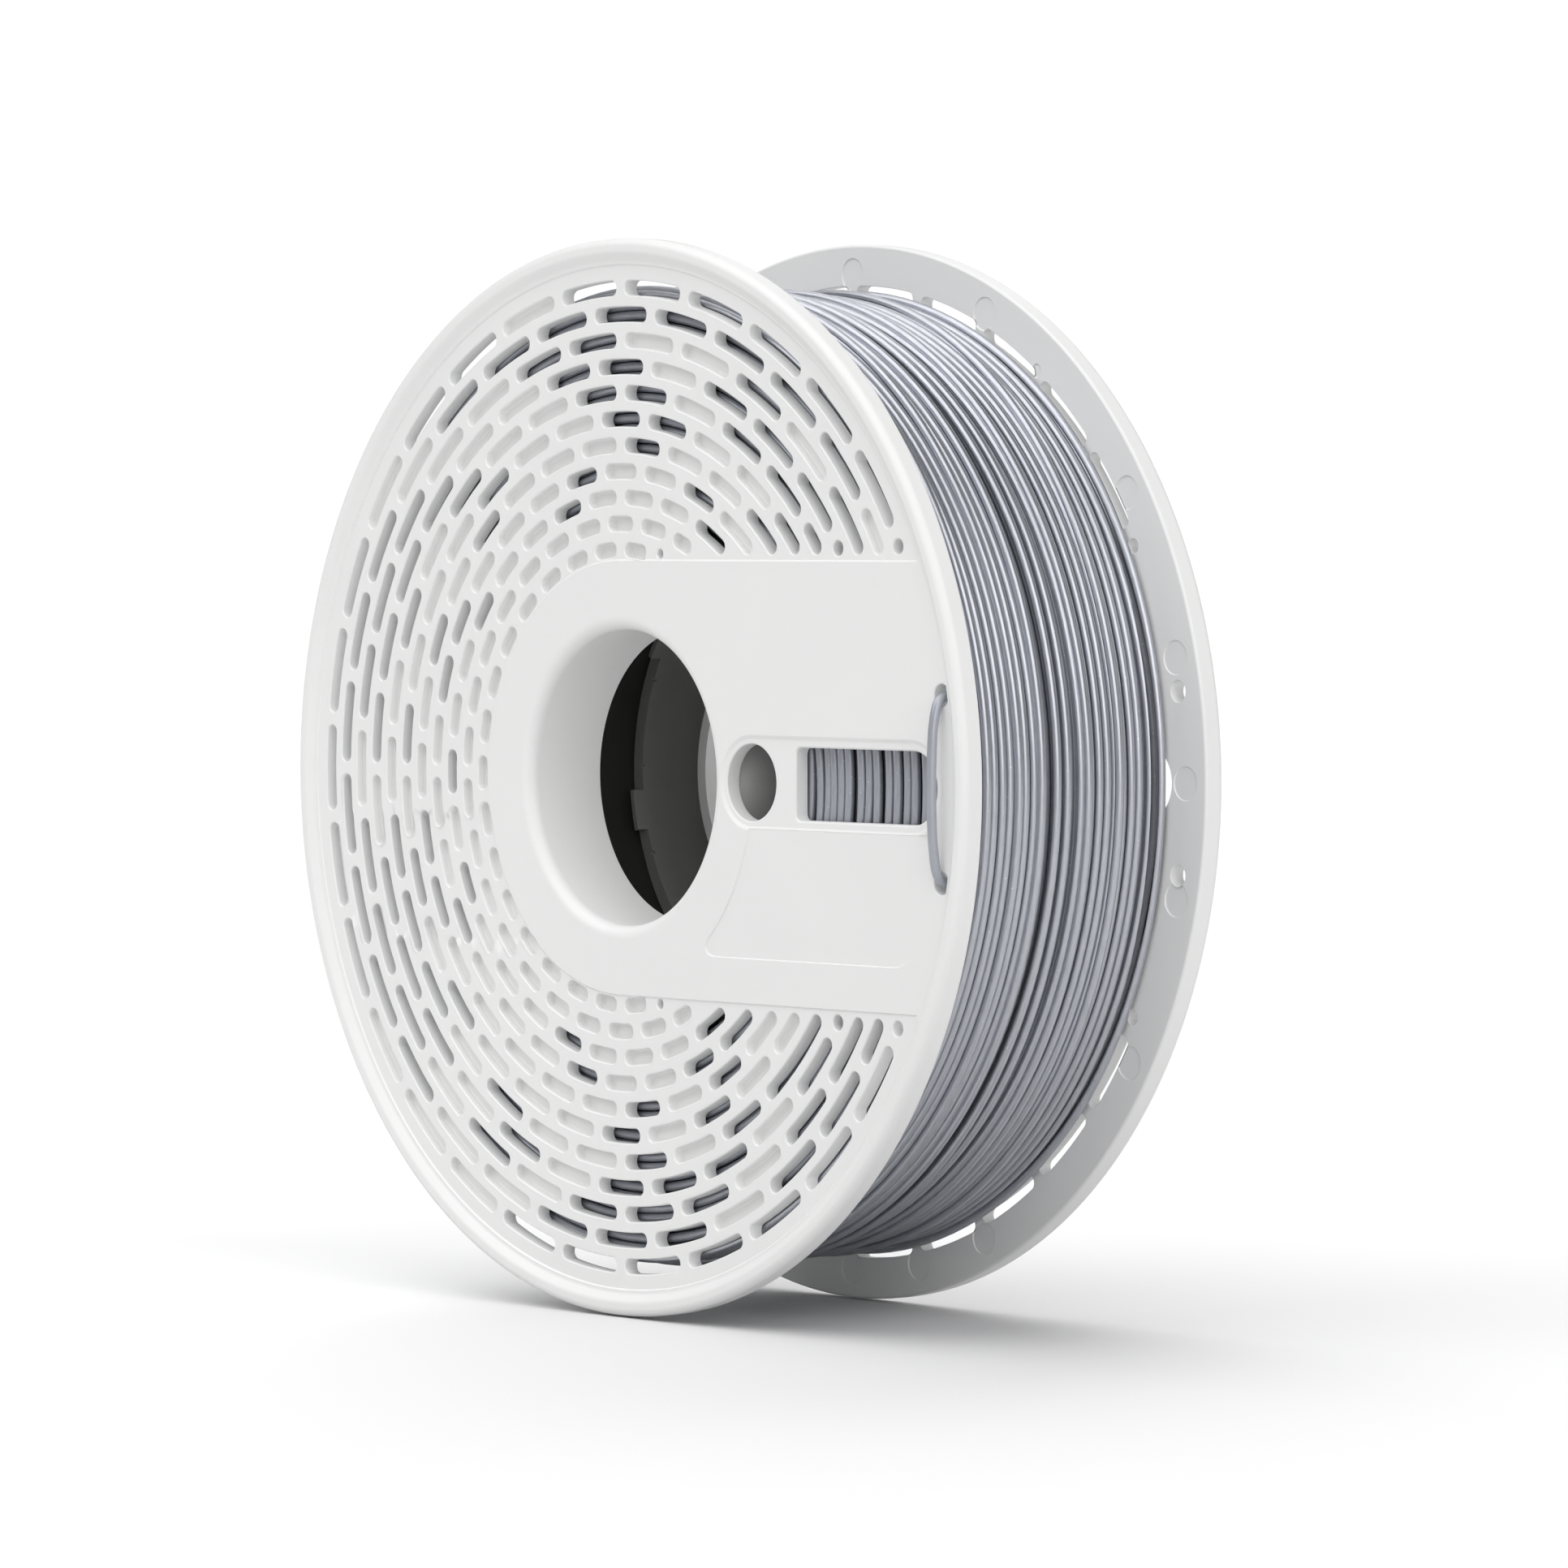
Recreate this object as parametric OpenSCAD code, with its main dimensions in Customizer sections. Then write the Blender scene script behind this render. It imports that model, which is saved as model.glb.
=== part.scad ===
// Filament spool: two slotted flange halves that plug together inside a wound coil of filament.
// The spool's axis lies along Y and its front face looks towards -Y.
// The origin is the centre of the bore, halfway between the two outer faces.

/* [Overall] */
// Outside diameter of both flanges
flange_d = 200; // [160:1:220]
// Width over the two outer faces
spool_w = 62; // [40:0.5:90]
// Diameter of the bore that the spool holder enters
bore_d = 55; // [45:0.5:60]

/* [Flange] */
// Thickness of a flange at its rim
flange_t = 4.5; // [3.5:0.1:6]
// Radius of the rounded outer edge of a flange
rim_round = 1.5; // [0.4:0.1:2]
// Width of the raised lip round a flange
lip_w = 2.5; // [2:0.1:4]
// Width of the slope from the lip down to the band
slope_w = 2; // [1:0.1:3]
// Height of the lip above the band
lip_h = 1.2; // [0.5:0.1:1.5]
// Depth of the slotted zone below the band
zone_depth = 0.3; // [0.1:0.1:0.6]
// Radius of the plain hub disc, and half the width of the plain band
band_r = 40.4; // [35:0.1:41]

/* [Slots] */
// Radius of the centreline of the outermost ring of slots
first_ring_r = 90.8; // [88:0.1:92]
// Distance from one ring to the next
ring_pitch = 4.85; // [4.5:0.01:5]
// Width of a slot
slot_w = 2.8; // [2:0.1:3.2]
// Gap between the tips of two slots of a ring
tip_gap = 2.5; // [2:0.1:4]
// Depth of a pocket, which is a slot that does not go through
pocket_depth = 1.8; // [1:0.1:2.5]

/* [Window] */
// Distance from the axis to the window's inner end
window_x = 51.2; // [50.5:0.1:52]
// Length of the window, with its round outer end
window_l = 39.4; // [20:0.1:40]
// Height of the window
window_h = 13.2; // [8:0.1:16]
// Diameter of the round hole between the bore and the window
peg_hole_d = 14.1; // [8:0.1:15]
// Distance from the axis to the centre of the round hole
peg_hole_x = 38.5; // [37.5:0.1:38.5]

/* [Core] */
// Outside diameter of the core that the filament is wound on
core_d = 100; // [98:0.5:101]
// Wall of the front core sleeve
core_wall = 3.6; // [3:0.1:3.6]
// Length of the rear core sleeve, which plugs into the front one
spigot_l = 16.5; // [10:0.5:22]
// Wall of the rear core sleeve
spigot_wall = 2.7; // [2:0.1:3]
// Length of the bore collars, measured from the band
collar_l = 17; // [10:0.5:22]
// Wall of the bore collars
collar_wall = 2.4; // [2.4:0.1:4]

/* [Filament] */
// Diameter of the filament
filament_d = 1.75; // [1.75:1.1:2.85]
// Outside diameter of the wound coil
coil_d = 182; // [120:1:184]
// Distance from the axis plane to each of the two holes that hold the end of the filament
tail_hole_z = 16.7; // [12:0.1:20]
// Diameter of those two holes
tail_hole_d = 4; // [3:0.1:5]

/* [Hidden] */
$fn = 96;
flange_r = flange_d / 2;
bore_r = bore_d / 2;
half_w = spool_w / 2;
cut = 1;

// Clearance between parts of the two halves, and between the coil and the pieces that hold it
half_gap = 0.2;
coil_gap = 0.3;
spigot_gap = 0.4;

// Colours
white = [0.90, 0.90, 0.90];
charcoal = [0.16, 0.16, 0.17];
silver_grey = [0.40, 0.43, 0.47];

// Each ring has 30 places, counted upwards from the band: o is open, p is a pocket, - is none.
// Rings alternate between starting on the band's middle line and half a place above it.
SLOT_RINGS = [
    "--ooooooopoopooooopppoooooooo-",
    "--poooooooopoooooooppooopooo--",
    "---opoppooppooopooopopooopoo--",
    "--oooopooppoooopooopopooopoo--",
    "---ooopooppoopoppooopoppopoo--",
    "---oppooppopppopopopppopopp---",
    "----oppopppopoppoopppppopop---",
    "----poppopppoopppopppoppoo----",
    "-----opppoppoppopopppopppo----",
    "-----pppppppppppppppppppp-----",
    "-------ppppppppppppppppp------"
];
slot_places = 30;
place_angle = 360 / slot_places;
least_slot_angle = 0.5;

// The round ends of a slot are this much smaller in radius than half its width
tip_step = 0.03;

// The first and last slot of a ring stop this far from the band's middle line
band_clear = band_r + 1.1 + slot_w / 2;

// A pair of small pockets fills the corners that the innermost ring leaves at the band
corner_pocket_r = 43.2;
corner_pocket_angle = 74.2;
corner_pocket_d = 1.8;

// Centre of the window's round outer end
window_end_x = window_x + window_l - window_h / 2;

// Recess around the round hole and the window
window_recess_r = 8.3;
window_recess_depth = 0.4;

// Shallow label field beside the window
label_inner_r = 39;
label_outer_r = 89.5;
label_low = 32.1;
label_depth = 0.2;

// Round over the bore's mouth
mouth_round = 2.3;

// Thin lip tabs on the front edge of the rear sleeve, with a nick on each side
spigot_r = core_d / 2 - core_wall - spigot_gap;
tab_count = 8;
tab_phase = 34.6;
tab_angle = 10.2;
tab_wall = 1;
tab_l = 2.4;
nick_offset = 11.3;
nick_w = 0.6;

// Hole in the front sleeve for the inner end of the filament
anchor_angle = 60;
anchor_y = -20;
anchor_hole_d = 2.6;

function polar_point(r, a, y) = [r * cos(a), y, r * sin(a)];

// Route of the outer end: off the coil, out by the upper hole, across the face, in by the lower hole
tail_x = 92.3;
TAIL_ROUTE = [
    polar_point(92.2, 44, -23.8),
    polar_point(92.2, 38, -23.8),
    polar_point(92.3, 32, -23.8),
    polar_point(92.5, 26, -23.8),
    polar_point(93.1, 20, -23.8),
    [91.2, -23.8, 23.6],
    [92.1, -24.1, 20.4],
    [tail_x, -24.9, 18.6],
    [tail_x, -26, 17.6],
    [tail_x, -27.2, 17],
    [tail_x, -28.5, 16.6],
    [tail_x, -29.7, 16.1],
    [tail_x, -30.5, 15.4],
    [tail_x, -31, 14.2],
    [tail_x, -31.4, 12.5],
    [tail_x, -31.8, 9.5],
    [tail_x, -32, 5],
    [tail_x, -32.1, 0.5],
    [tail_x, -32, -4],
    [tail_x, -31.8, -8.5],
    [tail_x, -31.4, -12.1],
    [tail_x, -31, -14.2],
    [tail_x, -30.5, -15.4],
    [tail_x, -29.7, -16.1],
    [tail_x, -28.5, -16.6],
    [tail_x, -27.2, -17],
    [tail_x, -26, -17.6],
    [tail_x, -24.9, -18.6],
    [92.1, -23.9, -20.6],
    [91.6, -23.1, -23.4]
];

// Route of the inner end: through the hole in the sleeve, then along its inside
ANCHOR_ROUTE = [
    polar_point(50, 60, anchor_y),
    polar_point(48, 60, anchor_y),
    polar_point(46.4, 60.2, anchor_y),
    polar_point(45.4, 61.2, anchor_y),
    polar_point(45, 63, anchor_y),
    polar_point(45, 67, anchor_y),
    polar_point(45.1, 72, anchor_y),
    polar_point(45.2, 78, anchor_y)
];

// Turns a shape drawn on its outer face, with +Z outwards, into place on the front half
module on_front() {
    translate([0, -half_w, 0]) rotate([90, 0, 0]) children();
}

// The rear half is the same shape turned over about the band's middle line
module on_rear() {
    rotate([180, 0, 0]) on_front() children();
}

module ring_2d(outer_r, inner_r) {
    difference() {
        circle(outer_r);
        circle(inner_r);
    }
}

module wedge_2d(r, from, to) {
    polygon([[0, 0], r * [cos(from), sin(from)], 1.2 * r * [cos((from + to) / 2), sin((from + to) / 2)],
        r * [cos(to), sin(to)]]);
}

// Curved slot with round ends, whose end circles are centred at the two angles
module arc_slot_2d(r, from, to) {
    for (side = [[from, 90], [to, -90]]) rotate(side[0]) translate([r, 0]) rotate(side[1])
        circle(slot_w / 2 - tip_step, $fn = 24);
    intersection() {
        ring_2d(r + slot_w / 2, r - slot_w / 2);
        wedge_2d(flange_r, from, to);
    }
}

// Round slot, where the band leaves no room for a long one
module dot_2d(r, a) {
    rotate(a) translate([r, 0]) circle(slot_w / 2, $fn = 24);
}

function ring_r(k) = first_ring_r - k * ring_pitch;
function slot_half_angle(r) = place_angle / 2 - (tip_gap + slot_w) / 2 / r * 180 / PI;
function band_angle(r) = r > band_clear ? asin(band_clear / r) : 0;

// All the slots of one kind, kind being o for open or p for pocket
module slots_2d(kind) {
    for (k = [0 : len(SLOT_RINGS) - 1]) {
        ring = SLOT_RINGS[k];
        r = ring_r(k);
        limit = band_angle(r);
        for (i = [1 : slot_places - 2]) {
            middle = (i + (k % 2) / 2) * place_angle;
            start = middle - slot_half_angle(r);
            end = middle + slot_half_angle(r);
            from = limit > 0 && ring[i - 1] == "-" ? min(limit, end) : start;
            to = limit > 0 && ring[i + 1] == "-" ? max(360 - limit, start) : end;
            if (ring[i] == kind) {
                if (to - from > least_slot_angle) arc_slot_2d(r, from, to);
                else dot_2d(r, (from + to) / 2);
            }
        }
    }
}

module corner_pockets_2d() {
    for (side = [-1, 1]) rotate(side * corner_pocket_angle) translate([corner_pocket_r, 0])
        circle(corner_pocket_d / 2, $fn = 24);
}

// The zone between the rim, the hub disc and the band
module slotted_zone_2d() {
    difference() {
        ring_2d(flange_r - lip_w - slope_w, band_r);
        translate([0, -band_r]) square([flange_r, 2 * band_r]);
    }
}

module window_2d() {
    translate([window_x, -window_h / 2]) square([window_end_x - window_x, window_h]);
    translate([window_end_x, 0]) circle(window_h / 2);
}

module window_recess_2d() {
    for (x = [peg_hole_x, window_end_x]) translate([x, 0]) circle(window_recess_r);
    translate([peg_hole_x, -window_recess_r]) square([window_end_x - peg_hole_x, 2 * window_recess_r]);
}

module label_field_2d() {
    intersection() {
        ring_2d(label_outer_r, label_inner_r);
        translate([0, -label_low]) square([flange_r, label_low - window_recess_r]);
    }
}

module tail_holes_2d() {
    for (side = [-1, 1]) translate([tail_x, side * tail_hole_z]) circle(tail_hole_d / 2);
}

module flange_disc() {
    hub_r = bore_r + collar_wall;
    lip_r = flange_r - lip_w;
    rotate_extrude($fn = 180) difference() {
        polygon([[hub_r, -flange_t], [flange_r, -flange_t], [flange_r, 0], [lip_r, 0],
            [lip_r - slope_w, -lip_h], [hub_r, -lip_h]]);
        translate([flange_r - rim_round, -rim_round]) difference() {
            square(rim_round + cut);
            circle(rim_round, $fn = 32);
        }
    }
}

// Cuts to a depth below the band
module sunk(depth) {
    translate([0, 0, -lip_h - depth]) linear_extrude(depth + lip_h + cut) children();
}

module flange() {
    color(white) difference() {
        flange_disc();
        sunk(zone_depth) slotted_zone_2d();
        sunk(flange_t + cut) slots_2d("o");
        sunk(zone_depth + pocket_depth) slots_2d("p");
        sunk(zone_depth + pocket_depth) corner_pockets_2d();
        sunk(window_recess_depth) window_recess_2d();
        sunk(label_depth) label_field_2d();
        sunk(flange_t + cut) window_2d();
        sunk(flange_t + cut) translate([peg_hole_x, 0]) circle(peg_hole_d / 2);
        sunk(flange_t + cut) tail_holes_2d();
    }
}

module bore_collar() {
    color(white) rotate_extrude($fn = 180) difference() {
        translate([bore_r, -lip_h - collar_l]) square([collar_wall, collar_l]);
        translate([bore_r - cut, -lip_h - mouth_round]) difference() {
            square([mouth_round + cut, mouth_round + cut]);
            translate([mouth_round + cut, 0]) circle(mouth_round, $fn = 48);
        }
    }
}

module tube(outer_r, wall, from, to) {
    translate([0, 0, from]) linear_extrude(to - from) ring_2d(outer_r, outer_r - wall, $fn = 180);
}

module front_core_sleeve() {
    color(charcoal) difference() {
        on_front() tube(core_d / 2, core_wall, half_gap + flange_t - spool_w, -flange_t);
        translate([0, anchor_y, 0]) rotate([0, -anchor_angle, 0]) rotate([0, 90, 0])
            cylinder(h = core_d, d = anchor_hole_d, $fn = 24);
    }
}

module rear_core_sleeve() {
    edge = -flange_t - spigot_l;
    color(charcoal) on_rear() difference() {
        union() {
            tube(spigot_r, spigot_wall, edge, -flange_t);
            translate([0, 0, edge - tab_l]) linear_extrude(tab_l + cut) lip_tabs_2d();
        }
        for (i = [0 : tab_count - 1], side = [-1, 1])
            rotate(tab_phase + i * 360 / tab_count + side * nick_offset)
                translate([spigot_r - spigot_wall - cut, -nick_w / 2, edge - cut])
                    cube([cut + nick_w, nick_w, cut + nick_w]);
    }
}

module lip_tabs_2d() {
    inner_r = spigot_r - spigot_wall;
    for (i = [0 : tab_count - 1]) rotate(tab_phase + i * 360 / tab_count) intersection() {
        ring_2d(inner_r + tab_wall, inner_r, $fn = 180);
        wedge_2d(2 * inner_r, -tab_angle / 2, tab_angle / 2);
    }
}

module filament_coil() {
    color(silver_grey) on_front()
        tube(coil_d / 2, coil_d / 2 - core_d / 2 - coil_gap, half_gap + coil_gap + flange_t - spool_w,
            -flange_t - coil_gap);
}

// Round strand that follows a list of points; the reference is a direction the route never takes
function unit(v) = v / norm(v);
function tangent(route, i) = unit(route[min(i + 1, len(route) - 1)] - route[max(i - 1, 0)]);
function side_of(t, reference) = unit(reference - (reference * t) * t);

module strand(route, reference, sides = 10) {
    rings = len(route);
    points = [for (i = [0 : rings - 1])
        let (t = tangent(route, i), u = side_of(t, reference), v = cross(t, u))
        for (j = [0 : sides - 1])
            route[i] + filament_d / 2 * (cos(j * 360 / sides) * u + sin(j * 360 / sides) * v)];
    walls = [for (i = [0 : rings - 2], j = [0 : sides - 1])
        let (a = i * sides, k = (j + 1) % sides)
        [a + j, a + sides + j, a + sides + k, a + k]];
    first_cap = [for (j = [0 : sides - 1]) j];
    last_cap = [for (j = [sides - 1 : -1 : 0]) (rings - 1) * sides + j];
    color(silver_grey) polyhedron(points, concat(walls, [first_cap, last_cap]));
}

on_front() flange();  // front_flange
on_front() bore_collar();  // front_bore_collar
front_core_sleeve();
on_rear() flange();  // rear_flange
on_rear() bore_collar();  // rear_bore_collar
rear_core_sleeve();
filament_coil();
strand(TAIL_ROUTE, [1, 0, 0]);  // filament_outer_end
strand(ANCHOR_ROUTE, [0, 1, 0]);  // filament_inner_end
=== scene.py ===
"""Filament spool: two white slotted flanges, a dark core and a wound coil of silver-grey filament."""

import math

import bpy
import numpy as np
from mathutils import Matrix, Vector
from mathutils.geometry import delaunay_2d_cdt


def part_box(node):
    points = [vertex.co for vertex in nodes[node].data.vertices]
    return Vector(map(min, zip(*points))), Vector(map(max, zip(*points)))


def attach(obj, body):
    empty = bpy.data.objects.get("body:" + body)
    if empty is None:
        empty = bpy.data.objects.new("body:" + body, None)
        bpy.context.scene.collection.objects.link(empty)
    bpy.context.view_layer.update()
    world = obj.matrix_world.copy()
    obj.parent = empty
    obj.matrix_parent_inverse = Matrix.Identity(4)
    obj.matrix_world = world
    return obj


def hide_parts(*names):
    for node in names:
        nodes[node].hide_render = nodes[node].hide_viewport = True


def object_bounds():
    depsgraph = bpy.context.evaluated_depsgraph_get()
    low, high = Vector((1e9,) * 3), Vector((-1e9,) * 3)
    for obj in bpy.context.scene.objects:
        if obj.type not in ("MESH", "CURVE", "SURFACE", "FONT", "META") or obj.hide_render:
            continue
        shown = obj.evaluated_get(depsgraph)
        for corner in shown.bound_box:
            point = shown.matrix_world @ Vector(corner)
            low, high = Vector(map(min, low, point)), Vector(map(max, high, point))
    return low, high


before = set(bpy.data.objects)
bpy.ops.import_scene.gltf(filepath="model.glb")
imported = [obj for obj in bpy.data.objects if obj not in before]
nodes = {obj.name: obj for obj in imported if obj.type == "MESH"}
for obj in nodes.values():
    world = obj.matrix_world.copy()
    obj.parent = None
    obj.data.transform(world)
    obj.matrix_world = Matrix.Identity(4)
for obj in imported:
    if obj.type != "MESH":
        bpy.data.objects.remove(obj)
cad_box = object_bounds()
scene = bpy.context.scene
MM = 0.001
rng = np.random.default_rng(11)

# ---------------------------------------------------------------- sizes, in millimetres
def box_mm(node):
    lo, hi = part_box(node)
    return np.array(lo) / MM, np.array(hi) / MM


flange_lo, flange_hi = box_mm("front_flange")
collar_lo, collar_hi = box_mm("front_bore_collar")
coil_lo, coil_hi = box_mm("filament_coil")

RIM_R = round(flange_hi[0], 1)
RIM_FACE = flange_lo[1]
INNER_FACE = flange_hi[1]
BAND_FACE = collar_lo[1]
HUB_R = round(collar_hi[0], 1)
COIL_R = round(coil_hi[0], 1)

BAND_HALF = 40.4                    # half the width of the plain band
ZONE_R, ZONE_DEPTH, ZONE_STEP = 95.1, 0.3, 0.4   # the slotted zone lies a little below the band
FACE_R = 95.4                       # where the flat face meets the raised lip
POCKET_DEPTH = 1.8
EDGE, WINDOW_EDGE, BACK_EDGE, POCKET_FOOT = 0.3, 0.45, 0.15, 0.35   # rounding of the holes' edges
SLOT_HALF = 1.4
PEG_X, PEG_R = 38.5, 7.05
WINDOW_X, WINDOW_END_X, WINDOW_HALF, WINDOW_CORNER = 51.2, 84.0, 6.6, 1.2
RECESS_R, RECESS_DEPTH, RECESS_STEP = 8.3, 0.4, 1.0
LABEL_LOW, LABEL_INNER_R, LABEL_OUTER_R, LABEL_CORNER = -32.1, 39, 89.5, 4
LABEL_DEPTH, LABEL_STEP = 0.25, 0.26
TAIL_X, TAIL_HOLE_Z, TAIL_HOLE_R = 92.3, 16.7, 2
DIMPLE_ANGLE, DIMPLE_AT, DIMPLE_R = 74.2, 43.2, 0.9
LIP_ROUND, REAR_ROUND = 1.5, 0.6    # rounding of the rim's outer edges
STRAND_R = 0.875

# Each ring has 30 places, counted upwards from the band: o is open, p is a pocket, - is none
SLOT_RINGS = [
    "--ooooooopoopooooopppoooooooo-",
    "--poooooooopoooooooppooopooo--",
    "---opoppooppooopooopopooopoo--",
    "--oooopooppoooopooopopooopoo--",
    "---ooopooppopoppooopoppopoo---",
    "---oppooppopppopopopppopopp---",
    "----oppopppopoppoopppppopop---",
    "----poppopppoopppopppoppoo----",
    "-----opppoppoppopopppopppo----",
    "-----pppppppppppppppppppp-----",
    "-------ppppppppppppppppp------",
]
FIRST_RING_R = 90.8
RING_PITCH = 4.85
TIP_GAP = 2.5


# ---------------------------------------------------------------- mesh building
class Shell:
    """Points with their own normals, and the faces on them, gathered in millimetres."""

    def __init__(self):
        self.points, self.normals, self.uvs, self.faces = [], [], [], []
        self.count = 0

    def add(self, points, normals, uvs=None):
        """Adds points and returns the number of the first."""
        first = self.count
        points = np.asarray(points, float)
        self.points.append(points)
        self.normals.append(np.broadcast_to(np.asarray(normals, float), points.shape))
        self.uvs.append(np.zeros((len(points), 2)) if uvs is None else np.asarray(uvs, float))
        self.count += len(points)
        return first

    def loft(self, rings, closed=True, uvs=None):
        """Joins rings of points and normals, each to the next."""
        starts = [self.add(p, n, None if uvs is None else uvs[i]) for i, (p, n) in enumerate(rings)]
        size = len(rings[0][0])
        here = np.arange(size if closed else size - 1)
        after = (here + 1) % size
        for a, b in zip(starts, starts[1:]):
            self.faces.extend(np.column_stack([a + here, a + after, b + after, b + here]).tolist())

    def build(self, name, material):
        """Makes the object, with each face turned to look where its points' normals do."""
        points = np.concatenate(self.points)
        normals = np.concatenate(self.normals)
        uvs = np.concatenate(self.uvs)
        faces = []
        for f in self.faces:
            if len(f) == 3:
                way = np.cross(points[f[1]] - points[f[0]], points[f[2]] - points[f[0]])
            elif len(f) == 4:
                way = np.cross(points[f[2]] - points[f[0]], points[f[3]] - points[f[1]])
            else:
                way = np.cross(points[f], np.roll(points[f], -1, axis=0)).sum(axis=0)
            faces.append(f if np.dot(way, normals[f].sum(axis=0)) >= 0 else f[::-1])
        mesh = bpy.data.meshes.new(name)
        mesh.from_pydata((points * MM).tolist(), [], faces)
        mesh.polygons.foreach_set("use_smooth", np.ones(len(mesh.polygons), bool))
        layer = mesh.uv_layers.new(name="along")
        loops = np.empty(len(mesh.loops), np.int32)
        mesh.loops.foreach_get("vertex_index", loops)
        layer.data.foreach_set("uv", uvs[loops].astype(np.float32).ravel())
        mesh.materials.append(material)
        mesh.update()
        mesh.normals_split_custom_set_from_vertices(normals.tolist())
        piece = bpy.data.objects.new(name, mesh)
        scene.collection.objects.link(piece)
        return piece


def smooth_step(t):
    t = np.clip(t, 0, 1)
    return t * t * (3 - 2 * t)


def arc_points(cx, cz, r, start, end, count):
    """Points on an arc, in degrees, with the directions away from its centre."""
    a = np.radians(np.linspace(start, end, count))
    way = np.column_stack([np.cos(a), np.sin(a)])
    return np.array([cx, cz]) + r * way, way


# ---------------------------------------------------------------- outlines of holes
# Each one returns points, and the directions out of the hole there
def slot_outline(r, start, end, grow):
    """Curved slot with round ends, with as many points for any growth, so that outlines can be joined."""
    w = SLOT_HALF + grow
    length = math.radians(end - start) * r
    steps = max(3, int(length / 1.3) + 1)
    a = np.radians(np.linspace(start, end, steps))
    out = np.column_stack([np.cos(a), np.sin(a)])
    outer, inner = out * (r + w), out[::-1] * (r - w)
    tips = []
    for angle, turn in ((end, 0), (start, 180)):
        b = np.radians(np.linspace(angle + turn, angle + turn + 180, 10))[1:-1]
        way = np.column_stack([np.cos(b), np.sin(b)])
        centre = r * np.array([math.cos(math.radians(angle)), math.sin(math.radians(angle))])
        tips.append((centre + w * way, way))
    points = np.concatenate([outer, tips[0][0], inner, tips[1][0]])
    ways = np.concatenate([out, tips[0][1], -out[::-1], tips[1][1]])
    return points, ways


def circle_outline(cx, cz, r, grow, count=32):
    a = np.linspace(0, 2 * math.pi, count, endpoint=False)
    way = np.column_stack([np.cos(a), np.sin(a)])
    return np.array([cx, cz]) + (r + grow) * way, way


def window_outline(grow):
    points, ways = [], []
    for cx, cz, r, start, turn, count in (
        (WINDOW_END_X, 0, WINDOW_HALF, -90, 180, 41),
        (WINDOW_X + WINDOW_CORNER, WINDOW_HALF - WINDOW_CORNER, WINDOW_CORNER, 90, 90, 9),
        (WINDOW_X + WINDOW_CORNER, WINDOW_CORNER - WINDOW_HALF, WINDOW_CORNER, 180, 90, 9),
    ):
        p, w = arc_points(cx, cz, r + grow, start, start + turn, count)
        points.append(p)
        ways.append(w)
    return np.concatenate(points), np.concatenate(ways)


def slots():
    """Every slot as (ring radius, start angle, end angle, open or not)."""
    clear = BAND_HALF + 1.1 + SLOT_HALF
    found = []
    for k, ring in enumerate(SLOT_RINGS):
        r = FIRST_RING_R - k * RING_PITCH
        limit = math.degrees(math.asin(clear / r)) if r > clear else 0
        half = 6 - math.degrees((TIP_GAP / 2 + SLOT_HALF) / r)
        for i, kind in enumerate(ring):
            if kind == "-":
                continue
            middle = (i + (k % 2) / 2) * 12
            start, end = middle - half, middle + half
            if limit and ring[i - 1] == "-":
                start = min(limit, end)
            if limit and ring[(i + 1) % 30] == "-":
                end = max(360 - limit, start)
            if end - start < 0.5:
                start = end = (start + end) / 2
            found.append((r, start, end, kind == "o"))
    return found


# ---------------------------------------------------------------- the flange
def zone_distance(x, z):
    r = np.hypot(x, z)
    band = np.where(x > 0, np.abs(z), r) - BAND_HALF
    return np.minimum(ZONE_R - r, band)


def recess_distance(x, z):
    return RECESS_R - np.hypot(x - np.clip(x, PEG_X, WINDOW_END_X), z)


def label_distance(x, z):
    r = np.hypot(x, z)
    sides = np.minimum(r - LABEL_INNER_R, LABEL_OUTER_R - r)
    low = z - LABEL_LOW
    both = LABEL_CORNER - np.hypot(np.maximum(LABEL_CORNER - sides, 0), np.maximum(LABEL_CORNER - low, 0))
    return np.minimum(np.minimum(np.minimum(sides, low), both), -RECESS_R - z)


def face_depth(x, z):
    zone = ZONE_DEPTH * smooth_step(zone_distance(x, z) / ZONE_STEP + 0.5)
    recess = RECESS_DEPTH * smooth_step(recess_distance(x, z) / RECESS_STEP + 0.5)
    label = LABEL_DEPTH * smooth_step(label_distance(x, z) / LABEL_STEP + 0.5)
    return zone + np.maximum(recess, label)


# Round marks that the moulding pins leave on the inner face: angle, distance from the axis, radius
PIN_MARKS = [(a, 94.3, 3.1)
             for a in (0, 13, 33, 66, 78, 90, 114, 137, 160, 180, 200, 223, 246, 270, 294, 326, 346)]
PIN_MARKS.append((305.2, 92.2, 1.25))
MARKS = [(d * math.cos(math.radians(a)), d * math.sin(math.radians(a)), r) for a, d, r in PIN_MARKS]
MARK_DEPTH, MARK_EDGE = 0.22, 0.22


def back_depth(x, z):
    depth = np.zeros_like(x)
    for mx, mz, r in MARKS:
        inside = smooth_step((r - np.hypot(x - mx, z - mz)) / MARK_EDGE + 0.5)
        depth = np.maximum(depth, MARK_DEPTH * inside)
    return depth


def relief(depth, x, z):
    """Normals of a face that looks towards -Y and is sunk by depth(x, z)."""
    h = 0.003
    gx = (depth(x + h, z) - depth(x - h, z)) / (2 * h)
    gz = (depth(x, z + h) - depth(x, z - h)) / (2 * h)
    n = np.column_stack([gx, -np.ones_like(gx), gz])
    return n / np.linalg.norm(n, axis=1)[:, None]


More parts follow.
